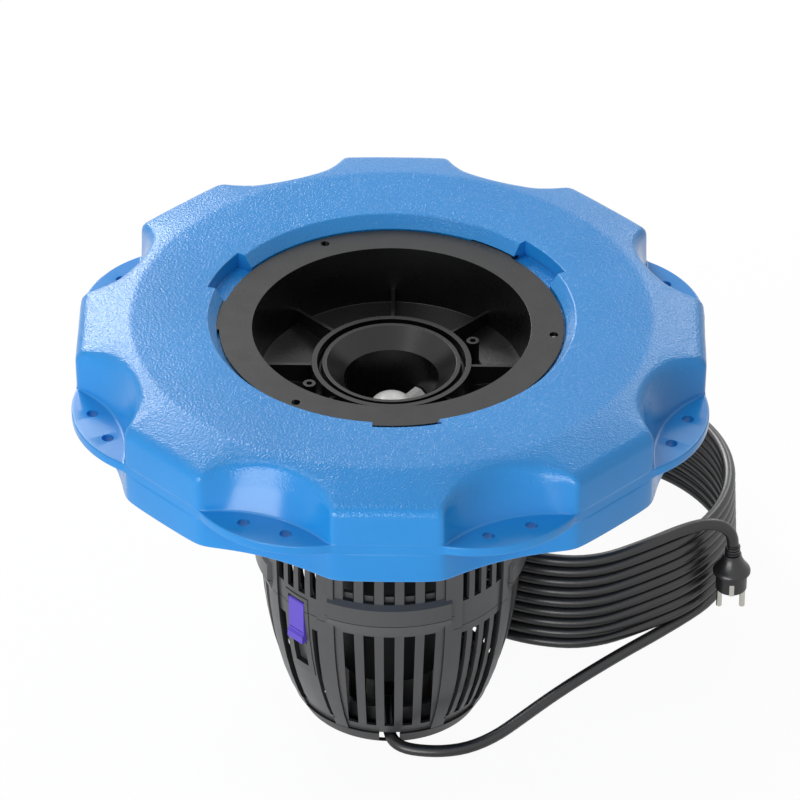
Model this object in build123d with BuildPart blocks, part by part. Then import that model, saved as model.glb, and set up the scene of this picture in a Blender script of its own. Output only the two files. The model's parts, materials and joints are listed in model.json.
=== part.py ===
from build123d import *
import math
import os

# Floating splash aerator. Millimetres, +Z up, the foot stands on z = 0 and the
# pump's axis is the Z axis. The front, where the cable leaves, is -Y.

# Float
float_top = 368.0  # flat top of the float over the foot
float_depth = 77.0
lobe_count = 8
lobe_radius = 250.0  # to a lobe's corners
lobe_half_angle = 10.0
disc_radius = 205.3  # flat middle of the top
rim_drop = 10.0  # fall of the outer zone from the disc to the lobes
rim_round = 7.0
scoop_top_reach = 216.0  # middle of a scoop, from the axis, at the top
scoop_flange_reach = 228.0
scoop_foot_reach = 235.6
tie_flange_reach = 262.0
tie_flange_drop = 42.4  # top of a tie-down flange under the float's top
tie_flange_thick = 8.0
eyelet_radius = 4.7
eyelet_circle = 244.1
eyelet_half_angle = 4.13
float_wall = 3.5

# Bayonet between float and bowl
recess_top_radius = 144.5
recess_foot_radius = 137.3
bore_radius = 131.6
flange_drop = 9.85  # top of the bowl's flange under the float's top
flange_thick = 4.0
flange_radius = 135.4
tab_count = 3
tab_radius = 143.0
tab_half_angle = 8.4
tab_angle = 54.6
unlock_turn = 19.3
pocket_radius = 150.5
pocket_half_angle = 10.3
seat_gap = 0.3  # between float and bowl, above, below and round the tabs

# Splash bowl
bowl_mouth_radius = 109.7
bowl_floor_radius = 105.5
bowl_floor_edge = 309.0
bowl_floor_inner = 303.0
bowl_wall = 2.6
bowl_skirt_foot = 297.0
collar_radius = 63.2
collar_bore = 58.8
collar_top = 324.5
collar_foot = 300.2
bowl_rib_count = 8
bowl_rib_top = 321.0
bowl_rib_thick = 3.0
boss_circle = 71.0
boss_angle = 25.5
boss_radius = 5.0
boss_bore = 2.35
boss_top = 324.0
flange_hole_circle = 127.7
flange_hole_radius = 3.5
flange_hole_angle = -4.5

# Throat ring with the propeller tube
throat_rim_radius = 51.2
throat_rim_top = 323.4
throat_rim_wall = 3.3
tube_bore = 37.5
tube_wall = 3.0
tube_foot = 215.0
funnel_foot = 309.0
groove_foot = 312.0
seal_radius = 2.1
seat_radius = 66.0
seat_thick = 3.7
ear_radius = 6.5
tube_flange_radius = 48.0
tube_flange_thick = 4.0

# Motor
motor_radius = 45.0
motor_wall = 2.0
motor_foot = 38.0
motor_top = 186.0
cover_thick = 6.0
cover_lip = 6.0
leg_circle = 43.0
leg_size = 8.0
hub_radius = 12.0
hub_top = 200.0
shaft_radius = 4.0
shaft_top = 283.0
shaft_foot = 61.0
bush_radius = 8.0
bush_length = 12.0
running_gap = 0.05
rotor_radius = 18.0
rotor_foot = 74.3
rotor_length = 84.0
can_bore = 19.0
can_wall = 0.6
can_floor = 56.0
can_floor_thick = 4.0
stator_radius = 42.8
stator_foot = 86.0
stator_length = 60.0
stator_teeth = 6
tooth_width = 8.0
yoke_thick = 6.0
coil_thick = 4.5
washer_thick = 2.0

# Propeller
propeller_foot = 256.0
propeller_height = 24.0
propeller_hub = 15.0
propeller_gap = 1.0
blade_count = 3
blade_thick = 2.4
blade_twist = 55.0
cap_radius = 18.3
cap_top = 290.0

# Strainer basket
basket_wall = 3.0
basket_foot = 13.5
basket_top = 299.0
foot_radius = 73.0
low_radius = 80.0
low_height = 20.0
knee_radius = 91.0
knee_height = 48.0
hip_radius = 100.0
hip_height = 88.0
waist_radius = 104.3
waist_height = 128.0
belly_radius = 105.6
belly_height = 165.0
neck_radius = 104.5
neck_height = 290.0
barrel_steps = 14  # straight steps of the barrel's outline
rib_proud = 2.0
rib_angle = 28.7  # from the middle of a main panel
rib_half_angle = 4.1
main_slots = 5
main_slot_width = 8.8
main_slot_pitch = 16.25
corner_slots = 4
corner_slot_width = 7.0
corner_slot_pitch = 12.4
slot_narrowing = 0.114  # by the foot, of pitch and width
upper_slot_top = 284.0
main_upper_slot_foot = 163.0
corner_upper_slot_foot = 154.5
main_lower_slot_top = 130.0
corner_lower_slot_top = 122.0
lower_slot_foot = 23.0
seam_main = 144.4
seam_latch = 137.0
seam_plain = 130.0
seam_gap = 0.5
belt_radius = 110.0
belt_half_width = 49.5
belt_top = 159.6
belt_chamfer_top = 163.0
belt_chamfer_foot = 131.0
spigot_bore = 98.0
spigot_radius = 101.4
spigot_foot = 130.6
spigot_top = 158.0
tongue_top = 168.0
tongue_width = 7.2
top_flange_bore = 84.0
strainer_screw_circle = 92.0
strainer_screw_radius = 1.5

# Latches
latch_angles = (-135.0, 45.0)
latch_width = 17.0
latch_back = 101.0  # distance of its flat back from the axis
latch_thick = 4.5
latch_top = 144.0
latch_foot = 105.0
latch_pin_radius = 1.5
latch_pin_height = 141.2
latch_pin_distance = 102.8
latch_side_gap = 0.5
pad_half_width = 12.5
pad_inner = -9.0  # the wall's thickening behind a latch, from the barrel's outside
pad_proud = 0.7
pad_start = 60.0
pad_top = 150.0
pad_foot = 70.0
pocket_back = 98.0
pocket_top = 146.5
pocket_foot = 103.0
keeper_height = 111.5
keeper_half = 1.75
keeper_half_width = 4.5
keeper_reach = 103.0
keeper_gap = 0.8
grip_height = 8.0
grip_proud = 1.6

# Base cap
cap_wall = 3.4
plate_top = 5.0
plate_foot = 2.0
drain_circle = 56.0
drain_count = 7
drain_radius = 3.0
tongue_foot_radius = 71.6
base_tongue_top = 34.0
base_tongue_width = 7.4
base_tongue_wall = 2.6
window_half_width = 8.3
window_top = 13.6
window_foot = 1.8
buffer_circle = 31.0
buffer_angles = (90.0, 210.0, 330.0)
buffer_radius = 7.0

# Mains cable
cable_diameter = 10.0
cable_rest = 5.2  # height of the cable's middle where it lies
gland_mouth = (-3.0, -38.0, 15.0)
gland_turn = 4.0  # of the gland's axis from -Y towards +X
sleeve_length = 18.0
sleeve_radius = 7.5
sleeve_end_radius = 5.6
nut_length = 12.0
nut_radius = 9.2
gland_boss_length = 14.0
gland_boss_radius = 8.8
coil_middle = (152.1, 186.0)
coil_foot_radius = 133.0  # of the lowest turn's middle line
coil_top_radius = 126.5
coil_turns = 9
coil_join_angle = -50.0
turn_pitch = 10.05

# Plug
plug_axis = (280.4, 98.5)
plug_neck_top = 75.0
plug_neck_foot = 66.0
plug_neck_radius = 5.6
plug_neck_rib = 0.8
plug_shoulder = 52.0
plug_collar_foot = 46.8
plug_collar_radius = 15.6
plug_body_radius = 12.9
plug_face = 31.0
plug_waist_radius = 7.5
plug_pin_radius = 2.4
plug_pin_spacing = 19.0
plug_pin_length = 19.0
earth_width = 4.0
earth_length = 11.0
earth_thick = 0.8

# Places that follow from the sizes above
float_foot = float_top - float_depth
lobe_pitch = 360.0 / lobe_count
corner_angle = lobe_pitch / 2 - lobe_half_angle  # from a notch's middle
tie_flange_top = float_top - tie_flange_drop
tie_flange_foot = tie_flange_top - tie_flange_thick
flange_top = float_top - flange_drop
flange_foot = flange_top - flange_thick
ledge = flange_foot - seat_gap
seat_top = collar_foot
seat_foot = seat_top - seat_thick
cover_top = motor_top + cover_thick
cable_radius = cable_diameter / 2


def polar(radius, angle):
    """A point at that distance and angle, in degrees, round the axis."""
    return (radius * math.cos(math.radians(angle)), radius * math.sin(math.radians(angle)))


def sector(inner, outer, middle, half):
    """Adds a piece of a ring, half degrees to each side of middle, to the open sketch."""
    with BuildLine() as outline:
        CenterArc((0, 0), inner, middle - half, 2 * half)
        CenterArc((0, 0), outer, middle - half, 2 * half)
        Line(polar(inner, middle - half), polar(outer, middle - half))
        Line(polar(inner, middle + half), polar(outer, middle + half))
    make_face(outline.edges())


def wall_plane(angle, distance=0.0):
    """A vertical plane that faces outwards at that angle: its x runs round the axis, its y up."""
    x, y = polar(1.0, angle)
    return Plane(origin=(x * distance, y * distance, 0), x_dir=(-y, x, 0), z_dir=(x, y, 0))


def turned(points):
    """Draws (radius, height) points as a closed outline, in a sketch on Plane.XZ, to be revolved."""
    with BuildLine() as outline:
        Polyline(*points, close=True)
    make_face(outline.edges())


def save(part, name):
    part.label = name
    export_step(part, "parts/" + name + ".step")


# Float: a lobed disc with a falling rim, hollow, with scoops over and under each tie-down flange
notch_corner = polar(lobe_radius, corner_angle)
outside = lobe_radius + 60.0


def scoop_outline(reach):
    """Outline that a scoop takes away: an arc from corner to corner, closed outside the float."""
    with BuildLine() as outline:
        ThreePointArc((notch_corner[0], -notch_corner[1]), (reach, 0), notch_corner)
        Polyline(
            notch_corner,
            (outside, notch_corner[1]),
            (outside, -notch_corner[1]),
            (notch_corner[0], -notch_corner[1]),
        )
    make_face(outline.edges())


with BuildPart() as upper_scoop:
    with BuildSketch(Plane.XY.offset(tie_flange_top)):
        scoop_outline(scoop_flange_reach)
    with BuildSketch(Plane.XY.offset(float_top)):
        scoop_outline(scoop_top_reach)
    loft()

with BuildPart() as lower_scoop:
    with BuildSketch(Plane.XY.offset(float_foot)):
        scoop_outline(scoop_foot_reach)
    with BuildSketch(Plane.XY.offset(tie_flange_foot)):
        scoop_outline(scoop_flange_reach)
    loft()

lobe_middles = [lobe_pitch * lobe for lobe in range(lobe_count)]
slot_foot = ledge
slot_top = flange_top + seat_gap

with BuildPart() as float_shell:
    with BuildSketch(Plane.XY.offset(float_foot)):
        with BuildLine():
            Polyline(
                *[
                    polar(lobe_radius, middle + side * lobe_half_angle)
                    for middle in lobe_middles
                    for side in (-1, 1)
                ],
                close=True,
            )
        make_face()
    extrude(amount=float_depth)
    with BuildSketch(Plane.XZ):
        turned(
            [
                (0, float_foot),
                (outside, float_foot),
                (outside, float_top - rim_drop * (outside - disc_radius) / (lobe_radius - disc_radius)),
                (disc_radius, float_top),
                (0, float_top),
            ]
        )
    revolve(mode=Mode.INTERSECT)
    with PolarLocations(0, lobe_count, start_angle=lobe_pitch / 2):
        add(upper_scoop.part, mode=Mode.SUBTRACT)
        add(lower_scoop.part, mode=Mode.SUBTRACT)
    rim_edges = float_shell.edges().filter_by(
        lambda edge: edge.center().Z > tie_flange_top + 15
        and math.hypot(edge.center().X, edge.center().Y) > disc_radius + 5
        and abs((edge @ 0).Z - (edge @ 1).Z) < float_depth / 5
    )
    fillet(rim_edges, rim_round)
    # Tie-down flanges with two eyelets each
    with BuildSketch(Plane.XY.offset(tie_flange_foot)):
        for lobe in lobe_middles:
            middle = lobe + lobe_pitch / 2
            near = polar(lobe_radius, middle - corner_angle)
            far = polar(lobe_radius, middle + corner_angle)
            with BuildLine() as lens:
                ThreePointArc(near, polar(tie_flange_reach, middle), far)
                Polyline(
                    far,
                    polar(lobe_radius - 5, middle + corner_angle),
                    polar(lobe_radius - 5, middle - corner_angle),
                    near,
                )
            make_face(lens.edges())
    extrude(amount=tie_flange_thick)
    with BuildSketch(Plane.XY.offset(tie_flange_foot)):
        for side in (-1, 1):
            with PolarLocations(
                eyelet_circle, lobe_count, start_angle=lobe_pitch / 2 + side * eyelet_half_angle
            ):
                Circle(eyelet_radius)
    extrude(amount=tie_flange_thick, mode=Mode.SUBTRACT)
    # Stepped middle: bore, ledge and tapering recess
    with BuildSketch(Plane.XZ):
        turned(
            [
                (0, float_foot),
                (bore_radius, float_foot),
                (bore_radius, ledge),
                (recess_foot_radius, ledge),
                (recess_foot_radius, flange_top),
                (recess_top_radius, float_top),
                (0, float_top),
            ]
        )
    revolve(mode=Mode.SUBTRACT)
    # Entry pockets of the bayonet, and the undercuts that the tabs turn into
    for tab in range(tab_count):
        locked = tab_angle + 360.0 / tab_count * tab
        entry = locked - unlock_turn
        slot_end = locked + tab_half_angle + math.degrees(seat_gap / tab_radius)
        slot_start = entry - pocket_half_angle
        with BuildSketch(Plane.XY.offset(slot_foot)):
            sector(recess_foot_radius - 2, pocket_radius, entry, pocket_half_angle)
        extrude(amount=float_top - slot_foot, mode=Mode.SUBTRACT)
        with BuildSketch(Plane.XY.offset(slot_foot)):
            sector(
                recess_foot_radius - 2,
                tab_radius + seat_gap,
                (slot_start + slot_end) / 2,
                (slot_end - slot_start) / 2,
            )
        extrude(amount=slot_top - slot_foot, mode=Mode.SUBTRACT)
    # Air space
    lobe_room = lobe_radius - 2 * float_wall
    scoop_room = scoop_top_reach - float_wall
    with BuildSketch(Plane.XY.offset(float_foot + float_wall)):
        with BuildLine():
            Polyline(
                *[
                    polar(reach, middle + turn)
                    for middle in lobe_middles
                    for reach, turn in (
                        (scoop_room, -lobe_pitch / 2 + corner_angle / 2),
                        (lobe_room, -lobe_half_angle * 0.86),
                        (lobe_room, lobe_half_angle * 0.86),
                        (scoop_room, lobe_pitch / 2 - corner_angle / 2),
                    )
                ],
                close=True,
            )
        make_face()
        Circle(bore_radius + float_wall, mode=Mode.SUBTRACT)
    extrude(
        amount=ledge - 2 * float_wall - (float_foot + float_wall),
        mode=Mode.SUBTRACT,
    )
    with BuildSketch(Plane.XY.offset(ledge - 2 * float_wall - 1)):
        Circle(disc_radius - float_wall)
        Circle(pocket_radius + float_wall, mode=Mode.SUBTRACT)
    extrude(
        amount=float_top - float_wall - (ledge - 2 * float_wall - 1),
        mode=Mode.SUBTRACT,
    )

save(float_shell.part, "float_shell")

# Splash bowl: flange with bayonet tabs, tapering wall, sloping floor, collar, ribs and bosses
wall_foot_radius = bowl_floor_radius + bowl_wall
floor_under = bowl_wall
screw_angles = [45.0 + 90.0 * turn for turn in range(4)]

with BuildPart() as bowl:
    with BuildSketch(Plane.XZ):
        turned(
            [
                (flange_radius, flange_top),
                (bowl_mouth_radius, flange_top),
                (bowl_floor_radius, bowl_floor_edge),
                (collar_radius, bowl_floor_inner),
                (collar_radius, collar_top),
                (collar_bore, collar_top),
                (collar_bore, collar_foot),
                (collar_radius, collar_foot),
                (bowl_floor_radius, bowl_floor_edge - floor_under),
                (bowl_floor_radius, bowl_skirt_foot),
                (wall_foot_radius, bowl_skirt_foot),
                (wall_foot_radius, bowl_floor_edge),
                (bowl_mouth_radius + bowl_wall, flange_foot),
                (flange_radius, flange_foot),
            ]
        )
    revolve()
    # Tabs of the bayonet
    with BuildSketch(Plane.XY.offset(flange_foot)):
        for tab in range(tab_count):
            sector(flange_radius - 1, tab_radius, tab_angle + 360.0 / tab_count * tab, tab_half_angle)
    extrude(amount=flange_thick)
    with BuildSketch(Plane.XY.offset(flange_foot)):
        with PolarLocations(flange_hole_circle, tab_count, start_angle=flange_hole_angle):
            Circle(flange_hole_radius)
    extrude(amount=flange_thick, mode=Mode.SUBTRACT)
    # Radial ribs between collar and wall, sunk a little into both
    slope = (bowl_floor_edge - bowl_floor_inner) / (bowl_floor_radius - collar_radius)
    for turn in range(bowl_rib_count):
        with BuildSketch(wall_plane(360.0 / bowl_rib_count * turn + 90.0)):
            with BuildLine():
                Polyline(
                    (-collar_radius + 0.6, bowl_floor_inner - 1),
                    (-bowl_floor_radius - 0.8, bowl_floor_edge - 1),
                    (-bowl_floor_radius - 1.6, bowl_rib_top),
                    (-collar_radius + 0.6, bowl_rib_top),
                    close=True,
                )
            make_face()
        extrude(amount=bowl_rib_thick / 2, both=True)
    # Screw bosses beside the collar, and below the floor for the strainer
    with BuildSketch(Plane.XY.offset(collar_foot)):
        with PolarLocations(boss_circle, 2, start_angle=boss_angle):
            Circle(boss_radius)
    extrude(amount=boss_top - collar_foot)
    with BuildSketch(Plane.XY.offset(collar_foot)):
        with PolarLocations(boss_circle, 2, start_angle=boss_angle):
            Circle(boss_bore)
    extrude(amount=boss_top - collar_foot, mode=Mode.SUBTRACT)
    with BuildSketch(Plane.XY.offset(basket_top)):
        with Locations(*[polar(strainer_screw_circle, angle) for angle in screw_angles]):
            Circle(boss_radius)
            Circle(strainer_screw_radius, mode=Mode.SUBTRACT)
    extrude(amount=bowl_floor_inner + 1 - basket_top)

save(bowl.part, "bowl")

# Throat ring: funnel rim, propeller tube and the flange that seats under the bowl
ear_angles = (boss_angle, boss_angle + 180.0)
leg_angles = [45.0 + 90.0 * turn for turn in range(4)]

with BuildPart() as throat_ring:
    with BuildSketch(Plane.XZ):
        turned(
            [
                (throat_rim_radius, throat_rim_top),
                (throat_rim_radius + throat_rim_wall, throat_rim_top),
                (throat_rim_radius + throat_rim_wall, groove_foot),
                (collar_bore - 0.4, groove_foot),
                (collar_bore - 0.4, seat_top),
                (seat_radius, seat_top),
                (seat_radius, seat_foot),
                (tube_bore + tube_wall, seat_foot),
                (tube_bore + tube_wall, tube_foot + tube_flange_thick),
                (tube_flange_radius, tube_foot + tube_flange_thick),
                (tube_flange_radius, tube_foot),
                (tube_bore, tube_foot),
                (tube_bore, funnel_foot),
            ]
        )
    revolve()
    with BuildSketch(Plane.XY.offset(seat_foot)):
        for angle in ear_angles:
            with Locations(Location((*polar(boss_circle, angle), 0), (0, 0, angle))):
                Circle(ear_radius)
                Rectangle(boss_circle - seat_radius + 4, 2 * ear_radius, align=(Align.MAX, Align.CENTER))
    extrude(amount=seat_thick)
    with BuildSketch(Plane.XY.offset(seat_foot)):
        with PolarLocations(boss_circle, 2, start_angle=boss_angle):
            Circle(boss_bore)
    extrude(amount=seat_thick, mode=Mode.SUBTRACT)
    with BuildSketch(Plane.XY.offset(tube_foot)):
        with Locations(*[polar(leg_circle, angle) for angle in leg_angles]):
            Circle(strainer_screw_radius + 0.2)
    extrude(amount=tube_flange_thick, mode=Mode.SUBTRACT)

save(throat_ring.part, "throat_ring")

groove_middle = (throat_rim_radius + throat_rim_wall + collar_bore) / 2

with BuildPart() as throat_seal:
    with BuildSketch(Plane.XZ):
        with Locations((groove_middle, groove_foot + seal_radius)):
            Circle(seal_radius)
    revolve()

save(throat_seal.part, "throat_seal")


def screws(points, head_face, shank, length, head, head_height, upwards):
    """Pan head screws at points: the head lies on the height head_face, the shank goes on from there."""
    way = 1 if upwards else -1
    with BuildPart() as group:
        with BuildSketch(Plane.XY.offset(head_face)):
            with Locations(*points):
                Circle(shank)
        extrude(amount=way * length)
        with BuildSketch(Plane.XY.offset(head_face)):
            with Locations(*points):
                Circle(head)
        extrude(amount=-way * head_height)
        with BuildSketch(Plane.XY.offset(head_face - way * head_height)):
            with Locations(*points):
                Rectangle(head * 1.3, head * 0.3)
                Rectangle(head * 0.3, head * 1.3)
        extrude(amount=way * head_height * 0.6, mode=Mode.SUBTRACT)
    return group.part


throat_screw_points = [polar(boss_circle, angle) for angle in ear_angles]
save(screws(throat_screw_points, seat_foot, boss_bore - 0.25, 21.0, 4.2, 2.6, True), "throat_screws")


# Strainer basket, made whole and then parted at the stepped seam
barrel = Spline(
    (foot_radius + (low_radius - foot_radius) * basket_foot / low_height, basket_foot),
    (knee_radius, knee_height),
    (hip_radius, hip_height),
    (waist_radius, waist_height),
    (belly_radius, belly_height),
    (neck_radius, neck_height),
)
barrel_points = [barrel @ (step / barrel_steps) for step in range(barrel_steps + 1)]


def basket_shell(inner_shift, outer_shift):
    """Outline of a wall of the barrel between two lines that are moved outwards by those shifts."""
    turned(
        [(point.X + inner_shift, point.Y) for point in barrel_points]
        + [(point.X + outer_shift, point.Y) for point in reversed(barrel_points)]
    )


def slot_shapes(count, width, pitch, foot, top, narrowing, skip=()):
    """Draws a row of slots on a wall plane, closer together and narrower towards the foot."""
    near = 1.0 - narrowing
    for number in range(count):
        if number in skip:
            continue
        middle = (number - (count - 1) / 2) * pitch
        with BuildLine() as outline:
            Polyline(
                (middle * near - width * near / 2, foot),
                (middle * near + width * near / 2, foot),
                (middle + width / 2, top),
                (middle - width / 2, top),
                close=True,
            )
        make_face(outline.edges())


main_angles = (-90.0, 0.0, 90.0, 180.0)
plain_angles = (-45.0, 135.0)
corner_angles = latch_angles + plain_angles
slot_reach = belt_radius + 10.0
slot_start_distance = 55.0

with BuildPart() as basket:
    with BuildSketch(Plane.XZ):
        basket_shell(-basket_wall, 0)
    revolve()
    # Broad upright ribs beside the panels
    with BuildPart(mode=Mode.PRIVATE) as ribs:
        with BuildSketch(Plane.XZ):
            basket_shell(-basket_wall + 0.5, rib_proud)
        revolve()
        with BuildSketch(Plane.XY):
            for middle in main_angles:
                for side in (-1, 1):
                    sector(foot_radius - 20, outside, middle + side * rib_angle, rib_half_angle)
        extrude(amount=float_top, mode=Mode.INTERSECT)
    add(ribs.part)
    # Belts over the seam of the main panels
    with BuildPart(mode=Mode.PRIVATE) as belts:
        with BuildSketch(Plane.XZ):
            turned(
                [
                    (waist_radius - 1.5, belt_chamfer_foot),
                    (waist_radius, belt_chamfer_foot),
                    (belt_radius, seam_main - seam_gap),
                    (belt_radius, belt_top),
                    (belly_radius, belt_chamfer_top),
                    (belly_radius - 1.5, belt_chamfer_top),
                ]
            )
        revolve()
        with BuildSketch(Plane.XY):
            Rectangle(2 * belt_half_width, 2 * outside)
            Rectangle(2 * outside, 2 * belt_half_width)
        extrude(amount=float_top, mode=Mode.INTERSECT)
    add(belts.part)
    # Thicker wall behind the latches
    with BuildPart(mode=Mode.PRIVATE) as pads:
        with BuildSketch(Plane.XZ):
            basket_shell(pad_inner, pad_proud)
        revolve()
        for angle in latch_angles:
            with BuildSketch(wall_plane(angle, pad_start)):
                with Locations((0, (pad_top + pad_foot) / 2)):
                    Rectangle(2 * pad_half_width, pad_top - pad_foot)
        extrude(amount=outside - pad_start, mode=Mode.INTERSECT)
    add(pads.part)
    # Slots of the main panels and of the corner panels
    for angle in main_angles:
        with BuildSketch(wall_plane(angle, slot_start_distance)):
            slot_shapes(
                main_slots, main_slot_width, main_slot_pitch, main_upper_slot_foot, upper_slot_top, 0
            )
            slot_shapes(
                main_slots,
                main_slot_width,
                main_slot_pitch,
                lower_slot_foot,
                main_lower_slot_top,
                slot_narrowing,
            )
        extrude(amount=slot_reach - slot_start_distance, mode=Mode.SUBTRACT)
    for angle in corner_angles:
        under_latch = (1, 2) if angle in latch_angles else ()
        with BuildSketch(wall_plane(angle, slot_start_distance)):
            slot_shapes(
                corner_slots,
                corner_slot_width,
                corner_slot_pitch,
                corner_upper_slot_foot,
                upper_slot_top,
                0,
            )
            slot_shapes(
                corner_slots,
                corner_slot_width,
                corner_slot_pitch,
                lower_slot_foot,
                corner_lower_slot_top,
                slot_narrowing,
                under_latch,
            )
        extrude(amount=slot_reach - slot_start_distance, mode=Mode.SUBTRACT)
    # Pockets of the latches, with a ramp below for the fingertip, and the holes of their pins
    for angle in latch_angles:
        x, y = polar(1.0, angle)
        with BuildSketch(wall_plane(angle, pocket_back)):
            with Locations((0, (pocket_top + pocket_foot) / 2)):
                Rectangle(latch_width + 2 * latch_side_gap, pocket_top - pocket_foot)
        extrude(amount=slot_reach - pocket_back, mode=Mode.SUBTRACT)
        side_plane = Plane(origin=(0, 0, 0), x_dir=(x, y, 0), z_dir=(y, -x, 0))
        with BuildSketch(side_plane):
            with BuildLine():
                Polyline(
                    (pocket_back, pocket_foot),
                    (slot_reach, pocket_foot),
                    (slot_reach, pad_foot + 8),
                    (hip_radius - 6.0, pad_foot + 8),
                    close=True,
                )
            make_face()
        extrude(amount=latch_width / 2 - 1.5, both=True, mode=Mode.SUBTRACT)
        with BuildSketch(side_plane):
            with Locations((latch_pin_distance, latch_pin_height)):
                Circle(latch_pin_radius)
        extrude(amount=pad_half_width, both=True, mode=Mode.SUBTRACT)
        # Keeper that the latch hooks under
        with BuildSketch(wall_plane(angle, pocket_back - 1)):
            with Locations((0, keeper_height)):
                Rectangle(2 * keeper_half_width, 2 * keeper_half)
        extrude(amount=keeper_reach - pocket_back + 1)


def under_seam(gap):
    """The space that belongs to the lower half of the basket, its top lowered by gap."""
    main_half = rib_angle
    latch_half = 45.0 - rib_angle + 3.0
    with BuildPart() as space:
        with BuildSketch(Plane.XY):
            Circle(outside)
        extrude(amount=seam_plain - gap)
        with BuildSketch(Plane.XY.offset(seam_plain / 2)):
            for middle in latch_angles:
                sector(slot_start_distance, outside - 20, middle, latch_half)
        extrude(amount=seam_latch - gap - seam_plain / 2)
        with BuildSketch(Plane.XY.offset(seam_plain / 3)):
            for middle in main_angles:
                sector(slot_start_distance + 5, outside - 10, middle, main_half)
        extrude(amount=seam_main - gap - seam_plain / 3)
    return space.part


with BuildPart() as over_seam:
    with BuildSketch():
        Circle(outside)
    extrude(amount=float_top)
    add(under_seam(seam_gap), mode=Mode.SUBTRACT)

with BuildPart() as strainer_upper:
    add(basket.part)
    add(under_seam(0), mode=Mode.SUBTRACT)
    # Flange that the bowl's screws pull up against the bowl
    with BuildSketch(Plane.XZ):
        turned(
            [
                (neck_radius - basket_wall, neck_height - 4),
                (neck_radius, neck_height - 4),
                (neck_radius, basket_top),
                (top_flange_bore, basket_top),
                (top_flange_bore, basket_top - basket_wall),
                (neck_radius - basket_wall, basket_top - basket_wall),
            ]
        )
    revolve()
    with BuildSketch(Plane.XY.offset(basket_top - basket_wall)):
        with Locations(*[polar(strainer_screw_circle, angle) for angle in screw_angles]):
            Circle(strainer_screw_radius + 0.2)
    extrude(amount=basket_wall, mode=Mode.SUBTRACT)

save(strainer_upper.part, "strainer_upper")

with BuildPart() as strainer_lower:
    add(basket.part)
    add(over_seam.part, mode=Mode.SUBTRACT)
    # Spigot that centres the halves, with tongues that show in the upper slots
    with BuildPart(mode=Mode.PRIVATE) as spigot:
        with BuildSketch(Plane.XZ):
            turned(
                [
                    (spigot_bore, spigot_foot),
                    (waist_radius - 1.5, spigot_foot),
                    (waist_radius - 1.5, seam_main - seam_gap - 1),
                    (spigot_radius, seam_main - seam_gap - 1),
                    (spigot_radius, tongue_top),
                    (spigot_bore, tongue_top),
                ]
            )
        revolve()
        with BuildSketch(Plane.XY):
            for middle in main_angles:
                sector(slot_start_distance, outside, middle, rib_angle - 2)
        extrude(amount=float_top, mode=Mode.INTERSECT)
        for angle in main_angles:
            with BuildSketch(wall_plane(angle, slot_start_distance)):
                for gap in range(main_slots + 1):
                    across_panel = (gap - main_slots / 2) * main_slot_pitch
                    with Locations((across_panel, (spigot_top + tongue_top) / 2 + 1)):
                        Rectangle(main_slot_pitch - tongue_width, tongue_top - spigot_top + 2)
            extrude(amount=slot_start_distance, mode=Mode.SUBTRACT)
    add(spigot.part)

save(strainer_lower.part, "strainer_lower")

strainer_screw_points = [polar(strainer_screw_circle, angle) for angle in screw_angles]
save(
    screws(
        strainer_screw_points,
        basket_top - basket_wall,
        strainer_screw_radius - 0.05,
        6.5,
        3.0,
        2.0,
        True,
    ),
    "strainer_screws",
)

# Latches: a plate in its pocket, hinged at the top, with a hook pocket and a grip at the foot
latch_names = ("latch_left", "latch_right")
hook_half = keeper_half + keeper_gap

for name, angle in zip(latch_names, latch_angles):
    x, y = polar(1.0, angle)
    side_plane = Plane(origin=(0, 0, 0), x_dir=(x, y, 0), z_dir=(y, -x, 0))
    face = latch_back + latch_thick
    with BuildPart() as latch:
        with BuildSketch(side_plane):
            with BuildLine():
                Polyline(
                    (latch_back, latch_top - 1),
                    (latch_back, latch_foot),
                    (face + grip_proud, latch_foot),
                    (face + grip_proud, latch_foot + grip_height - 2),
                    (face, latch_foot + grip_height),
                    (face, latch_top - 1),
                    (face - 1, latch_top),
                    (latch_back + 1, latch_top),
                    close=True,
                )
            make_face()
            with Locations((latch_pin_distance, latch_pin_height)):
                Circle(latch_pin_radius + running_gap, mode=Mode.SUBTRACT)
        extrude(amount=latch_width / 2, both=True)
        with BuildSketch(wall_plane(angle, latch_back)):
            with Locations((0, keeper_height)):
                Rectangle(2 * keeper_half_width + 2 * keeper_gap, 2 * hook_half)
        extrude(amount=keeper_reach + keeper_gap - latch_back, mode=Mode.SUBTRACT)
        with BuildSketch(wall_plane(angle, face)):
            with Locations((0, latch_foot + grip_height + 2.2)):
                Rectangle(latch_width - 2, 0.8)
        extrude(amount=-0.6, mode=Mode.SUBTRACT)
    save(latch.part, name)

with BuildPart() as latch_pins:
    for angle in latch_angles:
        x, y = polar(1.0, angle)
        side_plane = Plane(origin=(0, 0, 0), x_dir=(x, y, 0), z_dir=(y, -x, 0))
        with BuildSketch(side_plane):
            with Locations((latch_pin_distance, latch_pin_height)):
                Circle(latch_pin_radius)
        extrude(amount=pad_half_width - 0.5, both=True)

save(latch_pins.part, "latch_pins")

# Base cap: the foot ring with its floor plate, tongues behind the slots, and the cable window
seat_outer = foot_radius + (low_radius - foot_radius) * basket_foot / low_height
tongue_inner = tongue_foot_radius - base_tongue_wall

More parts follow.
